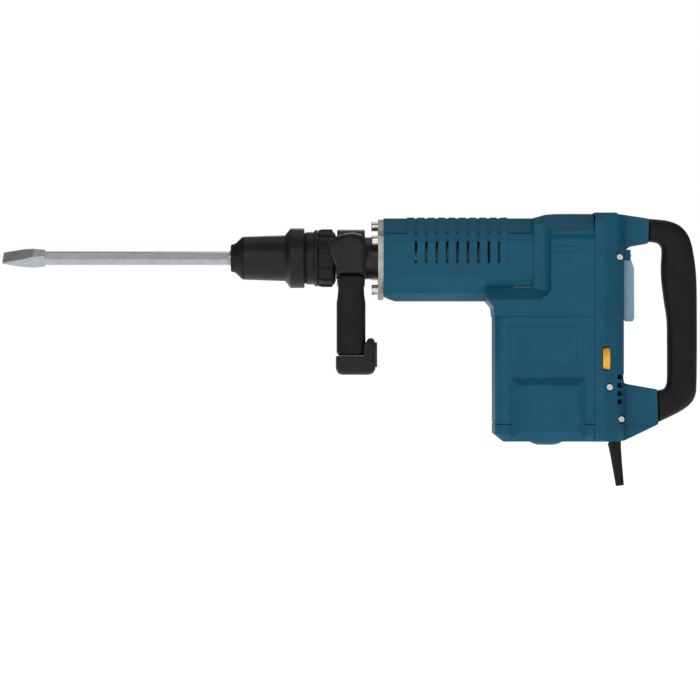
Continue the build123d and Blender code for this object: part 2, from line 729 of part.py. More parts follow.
def barrel_face(grow=0):
    return eaves_section(barrel_half, BARREL_TOP, BARREL_CREASE, -22, BARREL_BOTTOM, 24, grow)


def barrel_shell():
    """Casing round the cylinder: sloping roof over a groove, vents between raised pads."""
    body = cross_plate(barrel_section(), shell_x, barrel_end, 3)
    body -= cross_plate(barrel_section(-WALL - 1.5), shell_x + 5, barrel_end + 1)
    for side in (-1, 1):
        body -= cross_plate([(side * (barrel_half + 2), BARREL_CREASE + 0.5),
                             (side * (barrel_half - 4.2), BARREL_CREASE - LIP + 0.5),
                             (side * (barrel_half + 2), BARREL_CREASE - 2.6 * LIP)], shell_x + 2, barrel_end - 2)
    belly = side_plate([(shell_x - 1, -BARREL_BOTTOM - 1), (shell_x - 1, -BARREL_BOTTOM + 6.5),
                        (shell_x + 6, -BARREL_BOTTOM + 3), (shell_x + 17, -BARREL_BOTTOM - 1)],
                       -body_half, body_half)
    body -= belly & cross_plate(barrel_section(1), shell_x - 2, shell_x + 20)
    inside = cross_plate(barrel_section(-1), shell_x, barrel_end)
    for y, z in bolt_places():
        body += rod_x(shell_x, FLANGE_FRONT + BOLT_REACH + 3, BOLT_R + 3.5, y, z) & inside
    body -= rod_x(shell_x - 1, shell_x + 6, CYLINDER_R + CYLINDER_WALL)
    for y, z in bolt_places():
        body -= rod_x(shell_x - 1, FLANGE_FRONT + BOLT_REACH, BOLT_R, y, z)
    body -= gear_case(GAP)
    ribs = cross_plate(barrel_section(RIB_RISE), shell_x + 1, barrel_end) - cross_plate(
        barrel_section(-1), shell_x, barrel_end + 1)
    for index in range(RIBS):
        mid = shell_x + RIB_START + RIB_PITCH * index
        body += ribs & block(mid - RIB_WIDTH / 2, mid + RIB_WIDTH / 2, -body_half, body_half, -RIB_FOOT,
                             BARREL_TOP + 5)
    for index in range(RIBS - 1):
        mid = shell_x + RIB_START + RIB_PITCH * (index + 0.5)
        body -= block(mid - VENT_WIDTH / 2, mid + VENT_WIDTH / 2, -body_half, body_half, -VENT_FOOT, VENT_TOP)
    return body


def body_face(grow=0):
    return eaves_section(body_half, BODY_TOP, BARREL_CREASE, -BODY_SEAM, 0, 33, grow)


def flare_outline(grow=0):
    """Top view of the casing where it widens out of the barrel in a hollow curve."""
    x0, x1 = barrel_end + SEAM, block_x
    y0, y1 = barrel_half + grow, body_half + 1 + grow
    rise = 0.6 * FLARE
    far = Bezier((x0, y0), (x0 + rise, y0), (x1, y1 - 0.6 * (y1 - y0)), (x1, y1))
    near = Bezier((x0, -y0), (x0 + rise, -y0), (x1, -y1 + 0.6 * (y1 - y0)), (x1, -y1))
    rest = Polyline((x1, y1), (body_end, y1), (body_end, -y1), (x1, -y1))
    return make_face(Wire([far.edge(), near.edge(), Line((x0, y0), (x0, -y0)).edge(), *rest.edges()]))


def upper_housing():
    """Wide casing over the gears: flares out of the barrel and steps down over the motor."""
    main = run_along(body_face(), barrel_end + SEAM, body_end - SEAM)
    main &= Pos(0, 0, -BODY_SEAM) * extrude(flare_outline(), BODY_SEAM + BODY_TOP + 2)
    roof = side_plate([(barrel_end - 1, -BODY_SEAM - 1), (barrel_end - 1, BARREL_TOP - 0.1),
                       (barrel_end + 3, BARREL_TOP + 0.6), (block_x - 6, BODY_TOP - 1.2), (block_x + 6, BODY_TOP - 0.2),
                       (body_end + 1, BODY_TOP + 0.4), (body_end + 1, -BODY_SEAM - 1)],
                      -body_half - 2, body_half + 2)
    main &= roof
    ledge = cross_plate(mirrored([(barrel_half - 2, -LEDGE_TOP), (body_half, -LEDGE_TOP - LEDGE_FALL),
                                  (body_half, -BODY_SEAM)]), ledge_x, block_x + 2)
    nose = side_plate([(ledge_x, -LEDGE_TOP + 2), (ledge_x + 1.5, -LEDGE_TOP - LEDGE_FALL),
                       (ledge_x + 9.3, -LEDGE_TOP - 24.5), (ledge_x + 10.4, -BODY_SEAM), (block_x + 2, -BODY_SEAM),
                       (block_x + 2, -LEDGE_TOP + 2)], -body_half, body_half)
    ledge &= nose
    corner_edges = [e for e in ledge.edges() if abs(e.center().X - ledge_x - 4) < 4 and abs(e.center().Y) > body_half - 3
                    and e.length > 6]
    ledge = fillet(corner_edges, LEDGE_CORNER)
    sweep_up = side_face([(block_x - 13, -LEDGE_TOP - LEDGE_FALL - 2), (block_x + 1, -LEDGE_TOP - LEDGE_FALL - 2),
                          (block_x + 1, -LEDGE_TOP + 4)])
    sweep_up = Pos(0, body_half, 0) * extrude(sweep_up, 2 * body_half, dir=(0, -1, 0))
    sweep_up -= rod_y(-body_half - 1, body_half + 1, 16, block_x - 15, -LEDGE_TOP + 3)
    ledge += sweep_up
    ledge -= run_along(barrel_face(SEAM), ledge_x - 1, barrel_end + SEAM)
    body = main + ledge
    for side in (-1, 1):
        thumb = Plane((block_x + 17.5, side * body_half, 9.3), x_dir=(1, 0, 0), z_dir=(0, side, 0)) * SlotOverall(
            32, 9)
        body -= extrude(thumb - offset(thumb, -1.3), -0.8)
    inner = cross_plate([(y * 0.93, z * 0.92 if z > 0 else z - 1) for y, z in mirrored(
        [(30, BODY_TOP - 4), (body_half - 7, BARREL_CREASE - 2), (body_half - 4, -BODY_SEAM)])], block_x - 2, body_end + 1)
    body -= inner
    body -= cross_plate(barrel_section(-WALL - 1.5), barrel_end - 1, block_x)
    body -= block(crank_x - 23, body_end + 1, -body_half + 5, body_half - 5, -BODY_SEAM - 1, floor_foot + 1)
    return body - gear_case(GAP)


def motor_outline(grow=0, back=0):
    """Top view of the motor casing: rounded front corners, square at the back."""
    x0, x1 = motor_front - grow, body_end - SEAM + back
    half, corner = motor_half + grow, MOTOR_CORNER + grow
    face = Pos((x0 + x1) / 2, 0, 0) * Rectangle(x1 - x0, 2 * half)
    return fillet(face.vertices().sort_by(Axis.X)[:2], corner)


def tall(face, z0, z1):
    """A top-view face given a height."""
    return Pos(0, 0, z0) * extrude(face, z1 - z0)


def motor_housing():
    top, foot = -BODY_SEAM - SEAM, -MOTOR_BOTTOM
    body = tall(motor_outline(), foot, top)
    body = chamfer(body.faces().sort_by(Axis.Z)[0].outer_wire().edges(), 0.6)
    body -= tall(motor_outline(-WALL, 2), foot - 1, top + 1)
    inside = tall(motor_outline(-1), foot, top)
    for angle in (45, 135, 225, 315):
        web = block(STATOR_R - 1, motor_half * 2, -2, 2, core_foot, core_top)
        body += (Pos(motor_x, 0, 0) * (Rot(0, 0, angle) * web)) & inside
    body -= rod_z(core_foot - 1, core_top + 1, STATOR_R, motor_x)
    plate_x = motor_front + (body_end - motor_front - PLATE_LENGTH) / 2 - 2
    for side in (-1, 1):
        plate = block(plate_x, plate_x + PLATE_LENGTH, *sorted((side * (motor_half - 2), side * (motor_half + PLATE_RISE))),
                      -PLATE_FOOT, -PLATE_TOP)
        plate = fillet(plate.edges().filter_by(Axis.Y), 2)
        body += chamfer(plate.faces().sort_by(Axis.Y)[0 if side < 0 else -1].edges(), PLATE_RISE * 0.6)
    return body


def end_cap():
    top, foot = -MOTOR_BOTTOM - SEAM * 2, -CAP_BOTTOM
    front = motor_front
    body = tall(motor_outline(), foot, top)
    body = chamfer(body.faces().sort_by(Axis.Z)[0].outer_wire().edges().filter_by(Axis.X), CAP_BEVEL)
    toe = side_plate([(front - 1, foot - 1), (front - 1, foot + CAP_BEVEL + 1), (front + 0.01, foot + CAP_BEVEL),
                      (front + CAP_BEVEL + 2, foot), (front + CAP_BEVEL + 2, foot - 1)], -motor_half - 1, motor_half + 1)
    body -= toe
    body -= block(front + 14, body_end + 1, -motor_half + 13, motor_half - 13, foot + WALL, top + 1)
    body += upright(motor_x, [(0, foot - DOME_DROP), (DOME_R - 9, foot - DOME_DROP),
                              (DOME_R - 3, foot - DOME_DROP * 0.6), (DOME_R, foot), (DOME_R, foot + 1), (0, foot + 1)])
    seat = upright(motor_x, [(12, foot + 1), (16, foot + 1), (16, rear_bearing_top), (12, rear_bearing_top)])
    return body + seat


def brush_cover(side):
    """Raised cover over one carbon brush, bevelled all round its outer face."""
    x0, x1 = motor_x - COVER_WIDTH / 2, motor_x + COVER_WIDTH / 2
    face = Plane((motor_x, side * motor_half, -(COVER_TOP + COVER_FOOT) / 2), x_dir=(1, 0, 0),
                 z_dir=(0, side, 0)) * Rectangle(COVER_WIDTH, COVER_FOOT - COVER_TOP)
    body = extrude(face, COVER_RISE)
    outer = body.faces().sort_by(Axis.Y)[-1 if side > 0 else 0]
    body = chamfer(outer.edges(), COVER_RISE - 1.5, COVER_BEVEL)
    return body


# ---- Rear casing, arms and grip ----

def rear_outline(grow=0):
    """Top view of the rear casing, narrowing towards the handle in two soft bends."""
    half = body_half - 1 + grow
    back = wall_x + grow
    right = [(body_end, half), (body_end + 12, half - 1.5), (wall_x - 9, half - 12), (back, half - 28)]
    face = make_face(Polyline(*(right + [(x, -y) for x, y in reversed(right)]), close=True))
    for x, y in right[1:]:
        corners = [v for v in face.vertices() if abs(v.X - x) < 0.01 and abs(abs(v.Y) - y) < 0.01]
        face = fillet(corners, 9)
    return face


def arm_pieces(grow=0):
    """Upper and lower arm that reach back to the grip."""
    half = ARM_WIDTH / 2 + grow
    upper = side_plate([(body_end + 26, BODY_TOP + 1 + grow), (shell_x + 320, BODY_TOP - 4.8 + grow),
                        (shell_x + GRIP_JOINT_TOP - SEAM, BARREL_TOP - 0.6 + grow),
                        (shell_x + GRIP_JOINT_TOP - 2, 17.7 - grow), (wall_x + 8, 13.8 - grow), (wall_x - 6, 2),
                        (body_end + 26, 2)], -half, half)
    lower = side_plate([(wall_x - 8, -146), (wall_x + 3, -LOWER_ARM + 4.5 + grow),
                        (shell_x + GRIP_JOINT_FOOT - 2, -LOWER_ARM - 2.3 + grow),
                        (shell_x + GRIP_JOINT_FOOT - SEAM, -LOWER_ARM_FOOT + 2 - grow),
                        (wall_x + 1, -CAP_BOTTOM + 0.4 - grow), (wall_x - 22, -CAP_BOTTOM + 0.4 - grow),
                        (wall_x - 22, -146)], -half, half)
    return upper, lower


def rear_body(grow=0):
    """Rear casing: the plan outline cut to a bevelled section and a bevelled side view."""
    top, foot, half, back = BODY_TOP + 1 + grow, -CAP_BOTTOM - grow, body_half - 1 + grow, wall_x + grow
    body = tall(rear_outline(grow), foot, top)
    section = [(-half, top - EDGE_BEVEL), (EDGE_BEVEL - half, top), (half - EDGE_BEVEL, top),
               (half, top - EDGE_BEVEL), (half, foot + FOOT_BEVEL), (half - FOOT_BEVEL, foot),
               (FOOT_BEVEL - half, foot), (-half, foot + FOOT_BEVEL)]
    body &= cross_plate(section, body_end - 1, back + 1)
    body &= side_plate([(body_end - 1, foot), (body_end - 1, top), (back - EDGE_BEVEL, top),
                        (back, top - EDGE_BEVEL), (back, foot + FOOT_BEVEL), (back - FOOT_BEVEL, foot)],
                       -half - 1, half + 1)
    upper, lower = arm_pieces(grow)
    return body + upper + lower


def rear_shell():
    body = rear_body()
    hollow = rear_body(-WALL)
    hollow += block(body_end - 1, body_end + 1, -body_half + 1 + WALL, body_half - 1 - WALL,
                    -CAP_BOTTOM + WALL, BODY_TOP - WALL)
    body -= hollow
    for index in range(LOUVRES):
        z = -142.5 - LOUVRE_PITCH * index
        for side in (-1, 1):
            body -= block(wall_x - 9, wall_x + 3, *sorted((side * 21, side * 60)), z - 5.5, z)
    body -= block(body_end + 9, body_end + 19, -body_half - 1, -body_half + 10,
                  -DIAL_DROP - DIAL_R - GAP, -DIAL_DROP + DIAL_R + GAP)
    slot = Plane((wall_x + 19, -ARM_WIDTH / 2, -196), x_dir=(1, 0, 0), z_dir=(0, 1, 0)) * SlotOverall(47, 19)
    slot_side = extrude(slot, 1) & block(wall_x + 1, grip_back, -ARM_WIDTH, 0, -CAP_BOTTOM, -LOWER_ARM)
    body -= slot_side + mirror(slot_side, Plane.XZ)
    px, pz = paddle_pivot()
    half = PADDLE_WIDTH / 2 + GAP
    body -= block(wall_x - 8, wall_x + 1, -half, half, -PADDLE_FOOT - 2, pz - 7)
    for side in (-1, 1):
        body += block(wall_x - 2, px + 3.5, *sorted((side * half, side * (half + 4))), pz - 6, pz + 7)
    body -= rod_y(-half - 2, half + 2, PADDLE_PIVOT_R, px, pz)
    return body - sleeve_place() * Cylinder(SLEEVE_TOP_R - 2, 16)


def rear_half(side):
    """One side of the rear casing, with a solid pillar round each casing screw."""
    keep = block(body_end - 5, grip_back, *sorted((side * SEAM / 2, side * (body_half + 5))),
                 -CAP_BOTTOM - 5, BODY_TOP + 5)
    solid = rear_body() & keep
    half = rear_shell() & keep
    for x, z, seat in screw_places():
        half += solid & rod_y(-body_half, body_half, SCREW_HEAD_R + 3, x, z)
        if side < 0:
            half -= rod_y(-body_half, -seat, SCREW_HEAD_R + 1.2, x, z)
        half -= rod_y(-body_half, SCREW_REACH, SCREW_R, x, z)
    return half


def screw_places():
    """Casing screws: x, z and how far out their heads are seated."""
    return [(wall_x - 6, 0.7, 35), (wall_x - 19, -157.4, 50), (wall_x - 2.5, -196.9, ARM_WIDTH / 2 - 3)]


def rear_grip():
    """Soft grip that closes the handle behind the fingers."""
    jt, jf = shell_x + GRIP_JOINT_TOP, shell_x + GRIP_JOINT_FOOT
    back = grip_back
    outer = Spline((jt, BARREL_TOP), (jt + 24, 46), (back - 22, 40.5), (back - 11.5, 30), (back - 4.6, 7.8),
                   (back - 0.6, -16))
    inner = Spline((jt + 1, 19.5), (jt + 12, 17.5), (back - 43, 6), (back - 44.5, -20), (back - 42, -48),
                   (back - 37, -75))
    wire = Wire([outer.edge(), Line((back - 0.6, -16), (back, -163)).edge(),
                 Spline((back, -163), (back - 3, -171), (back - 12, -182), (jf + 1, -LOWER_ARM_FOOT + 2.6)).edge(),
                 Line((jf + 1, -LOWER_ARM_FOOT + 2.6), (jf - 1, -LOWER_ARM - 2.2)).edge(),
                 Spline((jf - 1, -LOWER_ARM - 2.2), (back - 40, -160), (back - 36.5, -156)).edge(),
                 Line((back - 36.5, -156), (back - 37, -75)).edge(), inner.edge(),
                 Line((jt + 1, 19.5), (jt, BARREL_TOP)).edge()])
    face = make_face(Plane.XZ * wire)
    body = Pos(0, GRIP_WIDTH / 2, 0) * extrude(face, GRIP_WIDTH, dir=(0, -1, 0))
    return body


def housing_screws():
    screws = []
    for x, z, seat in screw_places():
        head = rod_y(-seat - 2.8, -seat, SCREW_HEAD_R, x, z)
        head = fillet(head.edges().sort_by(Axis.Y)[0], 1)
        drive = Plane((x, -seat - 3, z), x_dir=(1, 0, 0), z_dir=(0, 1, 0)) * extrude(
            RegularPolygon(SCREW_HEAD_R * 0.55, 6), 1.8)
        screws.append(rod_y(-seat, SCREW_REACH - 1, SCREW_R, x, z) + head - drive)
    return Compound(children=screws)


# ---- Switch, dial, cable sleeve ----

def paddle_pivot():
    return wall_x + 5.5, 3.0


def switch_paddle():
    px, pz = paddle_pivot()
    body = side_plate([(px - 4, pz - 4), (px + 3.5, pz - 3), (px + 8, -12), (px + 8.5, -PADDLE_FOOT + 4),
                       (px + 6.5, -PADDLE_FOOT), (px - 1, -PADDLE_FOOT), (px - 4, -PADDLE_FOOT + 6)],
                      -PADDLE_WIDTH / 2, PADDLE_WIDTH / 2, 1.2)
    body += rod_y(-PADDLE_WIDTH / 2 + 4, PADDLE_WIDTH / 2 - 4, 4.8, px, pz)
    return body - rod_y(-20, 20, PADDLE_PIVOT_R + RUN_FIT, px, pz)


def paddle_pin():
    px, pz = paddle_pivot()
    return rod_y(-PADDLE_WIDTH / 2 - 2, PADDLE_WIDTH / 2 + 2, PADDLE_PIVOT_R, px, pz)


def switch_module():
    return block(wall_x - 34, wall_x - 9, -11, 11, -70, -15)


def dial_centre():
    return body_end + 14, -(body_half - 3.5) + sqrt(DIAL_R ** 2 - 10.5 ** 2)


def speed_dial():
    x, y = dial_centre()
    body = rod_x(x - DIAL_WIDTH / 2, x + DIAL_WIDTH / 2, DIAL_R, y, -DIAL_DROP)
    for index in range(24):
        angle = radians(15 * index)
        body -= rod_x(x - DIAL_WIDTH, x + DIAL_WIDTH, 0.7, y + (DIAL_R + 0.3) * cos(angle),
                      -DIAL_DROP + (DIAL_R + 0.3) * sin(angle))
    return body - rod_x(x - DIAL_WIDTH, x + DIAL_WIDTH, 2 + RUN_FIT, y, -DIAL_DROP)


def speed_control():
    """Potted speed control board with the shaft that carries the dial."""
    x, y = dial_centre()
    board = block(body_end + 1, x - DIAL_WIDTH / 2 - 1.2, y - 7, y + 26, -DIAL_DROP - 30, -DIAL_DROP + 30)
    return board + rod_x(body_end + 2, x + DIAL_WIDTH / 2 + 1.5, 2, y, -DIAL_DROP)


def sleeve_place():
    """Where the cable sleeve leaves the casing, leaning back."""
    return Pos(wall_x - 10, 0, -CAP_BOTTOM) * Rot(0, -SLEEVE_LEAN, 0)


def cable_sleeve():
    profile = [(SLEEVE_BORE_R, 6), (SLEEVE_TOP_R - 2, 6), (SLEEVE_TOP_R - 2, -1.4), (SLEEVE_TOP_R, -1.6),
               (SLEEVE_TOP_R - 0.9, -8), (SLEEVE_TIP_R + 1.6, -22), (SLEEVE_TIP_R, -SLEEVE_LENGTH),
               (SLEEVE_BORE_R, -SLEEVE_LENGTH)]
    sleeve = revolve(make_face(Plane.XZ * Polyline(*profile, close=True)), Axis.Z)
    return sleeve_place() * sleeve


# ---- Side handle ----

def clamp_place():
    """Middle of the clamp bolt: x and z."""
    return BAND_FRONT + BAND_WIDTH / 2, -NECK_R - BAND_WALL - WHEEL_R + 1.5


def clamp_band():
    r0, r1 = NECK_R + RUN_FIT, NECK_R + BAND_WALL
    x0, x1 = BAND_FRONT, BAND_FRONT + BAND_WIDTH
    band = turned([(x0, r0), (x0, r1), (x1, r1), (x1, r0)])
    band = fillet(band.edges().filter_by(GeomType.CIRCLE).sort_by(SortBy.RADIUS)[-2:], 2)
    mid, z = clamp_place()
    lugs = block(x0 + 4, x1 - 4, -LUG_HALF, LUG_HALF, z - 9, -NECK_R - 2)
    band = band + lugs - rod_x(x0 - 1, x1 + 1, r0)
    band -= block(x0 - 1, x1 + 1, -1.5, 1.5, z - 10, -NECK_R + 6)
    return band - rod_y(-LUG_HALF - 1, LUG_HALF + 1, CLAMP_BOLT_R + RUN_FIT, mid, z)


def handle_loop():
    """Moulded yoke and base of the side handle, with a core through both grips."""
    x0, x1 = BAND_FRONT + 1, BAND_FRONT + BAND_WIDTH - 1
    mid = BAND_FRONT + BAND_WIDTH / 2
    half = LEG_SPREAD + LEG_THICK / 2
    yoke = cross_plate(mirrored([(NECK_R + BAND_WALL - 6, 22), (half - 6, 10), (half, -4), (half - 4, -22),
                                 (LEG_SPREAD - 14, -22), (NECK_R + BAND_WALL - 4, -4)]), x0, x1)
    yoke -= rod_x(x0 - 1, x1 + 1, NECK_R + BAND_WALL)
    base = block(BAND_FRONT - 2, BAND_FRONT + BAND_WIDTH + 13, -half, half, -LOOP_FOOT, -LOOP_FOOT + BASE_HEIGHT)
    base = fillet(base.edges().filter_by(Axis.X), 8)
    cores = [rod_z(-LOOP_FOOT + BASE_HEIGHT - 1, -20, 7, mid, side * LEG_SPREAD) for side in (-1, 1)]
    return yoke + base + cores[0] + cores[1]


def side_grip(side):
    mid = BAND_FRONT + BAND_WIDTH / 2
    top, foot = -22 - SEAM, -LOOP_FOOT + BASE_HEIGHT + SEAM
    body = Pos(mid, side * LEG_SPREAD, foot) * extrude(
        RectangleRounded(LEG_WIDTH, LEG_THICK, 11), top - foot)
    return body - rod_z(foot - 1, top + 1, 7, mid, side * LEG_SPREAD)


def clamp_bolt():
    mid, z = clamp_place()
    end = LUG_HALF + GAP + WHEEL_WIDTH + 3
    return rod_y(-LUG_HALF, end, CLAMP_BOLT_R, mid, z) + rod_y(-LUG_HALF - 5, -LUG_HALF, 7, mid, z)


def thumb_wheel():
    mid, z = clamp_place()
    start = LUG_HALF + GAP
    wheel = rod_y(start, start + WHEEL_WIDTH, WHEEL_R, mid, z)
    for index in range(WHEEL_KNURLS):
        angle = 2 * pi * index / WHEEL_KNURLS
        wheel -= rod_y(start - 1, start + WHEEL_WIDTH + 1, 2.2, mid + (WHEEL_R + 0.8) * cos(angle),
                       z + (WHEEL_R + 0.8) * sin(angle))
    return wheel - rod_y(start - 1, start + WHEEL_WIDTH + 1, CLAMP_BOLT_R + RUN_FIT, mid, z)


# ---- Every piece, by node name ----

pieces = {
    "chisel": chisel(),
    "holder_tube": holder_tube(),
    "dust_cap": dust_cap(),
    "retaining_ring": retaining_ring(),
    "holder_bearing": holder_bearing(),
    "locking_sleeve": locking_sleeve(),
    "lock_ring": lock_ring(),
    "roller_near": roller(-1),
    "roller_far": roller(1),
    "sleeve_spring": coil(ROLLER_MID + ROLLER_LENGTH / 2 + 1.1, 83.9, NOSE_R + 4, 1.1, 3),
    "adjusting_ring": adjusting_ring(),
    "neck_sleeve": neck_sleeve(),
    "flange_plate": flange_plate(),
    "flange_bolts": flange_bolts(),
    "percussion_pin": percussion_pin(),
    "pin_seal": grooved_seal(holder_bore_x + 22, PIN_R),
    "cylinder": cylinder(),
    "ram": ram(),
    "ram_seal": grooved_seal(ram_back - 12, CYLINDER_R - RUN_FIT),
    "piston": piston(),
    "piston_seal": grooved_seal(piston_front + 1.5, CYLINDER_R - RUN_FIT),
    "wrist_pin": rod_z(-CYLINDER_R + 1, CYLINDER_R - 1, WRIST_R, wrist_x),
    "connecting_rod": connecting_rod(),
    "crank_pin": crank_pin(),
    "crankshaft": crankshaft(),
    "crank_gear": crank_gear(),
    "crank_bearings": crank_bearings(),
    "gear_housing": gear_housing(),
    "armature_shaft": armature_shaft(),
    "fan": fan(),
    "armature_core": armature_core(),
    "armature_winding": armature_winding(),
    "commutator": commutator(),
    "stator": stator(),
    "field_coils": field_coils(),
    "motor_bearings": motor_bearings(),
    "brush_holders": brush_holders(),
    "carbon_brushes": carbon_brushes(),
    "barrel_shell": barrel_shell(),
    "upper_housing": upper_housing(),
    "motor_housing": motor_housing(),
    "end_cap": end_cap(),
    "brush_cover_near": brush_cover(-1),
    "brush_cover_far": brush_cover(1),
    "rear_shell_near": rear_half(-1),
    "rear_shell_far": rear_half(1),
    "rear_grip": rear_grip(),
    "housing_screws": housing_screws(),
    "switch_paddle": switch_paddle(),
    "paddle_pin": paddle_pin(),
    "switch_module": switch_module(),
    "speed_dial": speed_dial(),
    "speed_control": speed_control(),
    "cable_sleeve": cable_sleeve(),
    "clamp_band": clamp_band(),
    "handle_loop": handle_loop(),
    "side_grip_near": side_grip(-1),
    "side_grip_far": side_grip(1),
    "clamp_bolt": clamp_bolt(),
    "thumb_wheel": thumb_wheel(),
}

shift = Pos(-origin[0], 0, -origin[2])
for name, piece in pieces.items():
    solids = piece.solids()
    placed = shift * (solids[0] if len(solids) == 1 else Compound(children=list(solids)))
    export_step(placed, f"parts/{name}.step")
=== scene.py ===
"""Looks of an electric demolition hammer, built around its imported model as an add-on."""
import json
from math import cos, pi, radians, sin

import bmesh
import bpy
from bpy.props import FloatProperty, FloatVectorProperty, PointerProperty
from mathutils import Matrix, Vector


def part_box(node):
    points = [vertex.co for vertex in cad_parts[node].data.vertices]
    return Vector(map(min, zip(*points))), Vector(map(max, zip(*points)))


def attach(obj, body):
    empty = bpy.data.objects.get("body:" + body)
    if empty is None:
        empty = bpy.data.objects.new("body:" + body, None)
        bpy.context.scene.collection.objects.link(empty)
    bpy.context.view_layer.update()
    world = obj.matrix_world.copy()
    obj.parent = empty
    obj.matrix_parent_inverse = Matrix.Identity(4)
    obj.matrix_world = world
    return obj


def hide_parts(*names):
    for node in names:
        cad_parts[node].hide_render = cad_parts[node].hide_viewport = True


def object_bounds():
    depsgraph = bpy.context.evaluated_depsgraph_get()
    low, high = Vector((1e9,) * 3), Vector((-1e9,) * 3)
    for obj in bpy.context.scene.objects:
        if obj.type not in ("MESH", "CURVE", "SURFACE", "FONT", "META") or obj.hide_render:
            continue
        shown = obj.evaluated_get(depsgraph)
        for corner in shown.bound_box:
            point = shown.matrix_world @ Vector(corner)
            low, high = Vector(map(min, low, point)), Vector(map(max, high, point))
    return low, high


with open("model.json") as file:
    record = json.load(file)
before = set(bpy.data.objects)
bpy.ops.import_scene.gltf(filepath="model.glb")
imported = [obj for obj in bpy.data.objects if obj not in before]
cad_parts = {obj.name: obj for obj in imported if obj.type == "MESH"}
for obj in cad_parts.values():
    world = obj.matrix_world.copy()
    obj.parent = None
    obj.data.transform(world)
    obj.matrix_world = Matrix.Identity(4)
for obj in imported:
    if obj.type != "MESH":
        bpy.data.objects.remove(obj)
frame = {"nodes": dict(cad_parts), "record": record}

bl_info = {
    "name": "Demolition Hammer",
    "version": (1, 0, 0),
    "blender": (4, 5, 0),
    "location": "3D View > Sidebar > Hammer",
    "description": "Casings, grips, chuck and finishes of an electric demolition hammer",
    "category": "Object",
}

CAD_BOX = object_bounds()
MM = 0.001


# ---- Places read from the frame ----

def middle(node):
    """Centre of a piece's box."""
    low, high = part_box(node)
    return (low + high) / 2


AXIS_Z = middle("cylinder").z
NOSE_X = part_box("dust_cap")[0].x


def spot(x, y, z):
    """Point from millimetres behind the dust cap, beside and above the hammer axis."""
    return Vector((NOSE_X + x * MM, y * MM, AXIS_Z + z * MM))


# ---- Sizes and colours a user would change ----

class HammerFinish(bpy.types.PropertyGroup):
    casing: FloatVectorProperty(name="Casing", description="Colour of the moulded casing", subtype="COLOR",
                                size=4, min=0, max=1, default=(0.0012, 0.074, 0.132, 1))
    switch: FloatVectorProperty(name="Switch", description="Colour of the switch paddle", subtype="COLOR",
                                size=4, min=0, max=1, default=(0.24, 0.37, 0.47, 1))
    dial: FloatVectorProperty(name="Dial", description="Colour of the speed dial", subtype="COLOR",
                              size=4, min=0, max=1, default=(0.80, 0.42, 0.04, 1))
    grain: FloatProperty(name="Grain", description="Spacing of the moulded grain on the casing",
                         default=0.0009, min=0.0002, max=0.01, unit="LENGTH")


class HammerStage(bpy.types.PropertyGroup):
    view_width: FloatProperty(name="View width", description="Width that the camera takes in at the hammer",
                              default=0.857, min=0.1, max=5, unit="LENGTH")
    lens: FloatProperty(name="Lens", description="Focal length of the camera, in millimetres",
                        default=200, min=20, max=400)
    key_power: FloatProperty(name="Key light", description="Power of the main soft light", default=21,
                             min=0, max=5000, unit="POWER")


def finish_of():
    return bpy.context.scene.hammer_finish


def stage_of():
    return bpy.context.scene.hammer_stage


# ---- Materials ----

class Shader:
    """Small helper that adds and joins the nodes of one material."""

    def __init__(self, name):
        self.material = bpy.data.materials.new(name)
        self.material.use_nodes = True
        self.tree = self.material.node_tree
        self.bsdf = self.tree.nodes["Principled BSDF"]
        self.place = self.add("ShaderNodeTexCoord").outputs["Object"]

    def add(self, kind, **settings):
        node = self.tree.nodes.new(kind)
        for key, value in settings.items():
            setattr(node, key, value)
        return node

    def join(self, output, target):
        self.tree.links.new(output, target)
        return target.node

    def stretched(self, scale):
        node = self.add("ShaderNodeMapping")
        node.inputs["Scale"].default_value = scale
        self.join(self.place, node.inputs["Vector"])
        return node.outputs["Vector"]

    def noise(self, size, detail=2.0, where=None, rough=0.5):
        node = self.add("ShaderNodeTexNoise")
        node.inputs["Scale"].default_value = 1 / size
        node.inputs["Detail"].default_value = detail
        node.inputs["Roughness"].default_value = rough
        self.join(where or self.place, node.inputs["Vector"])
        return node.outputs["Fac"]

    def cells(self, size, where=None, feature="F1"):
        node = self.add("ShaderNodeTexVoronoi", feature=feature)
        node.inputs["Scale"].default_value = 1 / size
        self.join(where or self.place, node.inputs["Vector"])
        return node.outputs["Distance"]

    def ramp(self, value, stops):
        node = self.add("ShaderNodeValToRGB")
        while len(node.color_ramp.elements) < len(stops):
            node.color_ramp.elements.new(0.5)
        for element, (position, colour) in zip(node.color_ramp.elements, stops):
            element.position = position
            element.color = colour if len(colour) == 4 else (*colour, 1)
        self.join(value, node.inputs["Fac"])
        return node.outputs["Color"]

    def span(self, value, low, high):
        """The value from 0 to 1 moved to run from low to high."""
        node = self.add("ShaderNodeMapRange")
        node.inputs["To Min"].default_value = low
        node.inputs["To Max"].default_value = high
        self.join(value, node.inputs["Value"])
        return node.outputs["Result"]

    def bump(self, heights):
        """Bumps from (height output, depth in metres) pairs, one over another."""
        normal = None
        for height, depth in heights:
            node = self.add("ShaderNodeBump")
            node.inputs["Distance"].default_value = depth
            node.inputs["Strength"].default_value = 1.0
            self.join(height, node.inputs["Height"])
            if normal is not None:
                self.join(normal, node.inputs["Normal"])
            normal = node.outputs["Normal"]
        self.join(normal, self.bsdf.inputs["Normal"])

    def set(self, **values):
        for key, value in values.items():
            self.bsdf.inputs[key.replace("_", " ")].default_value = value


def shade(colour, factor):
    return tuple(min(1.0, c * factor) for c in colour[:3]) + (1,)


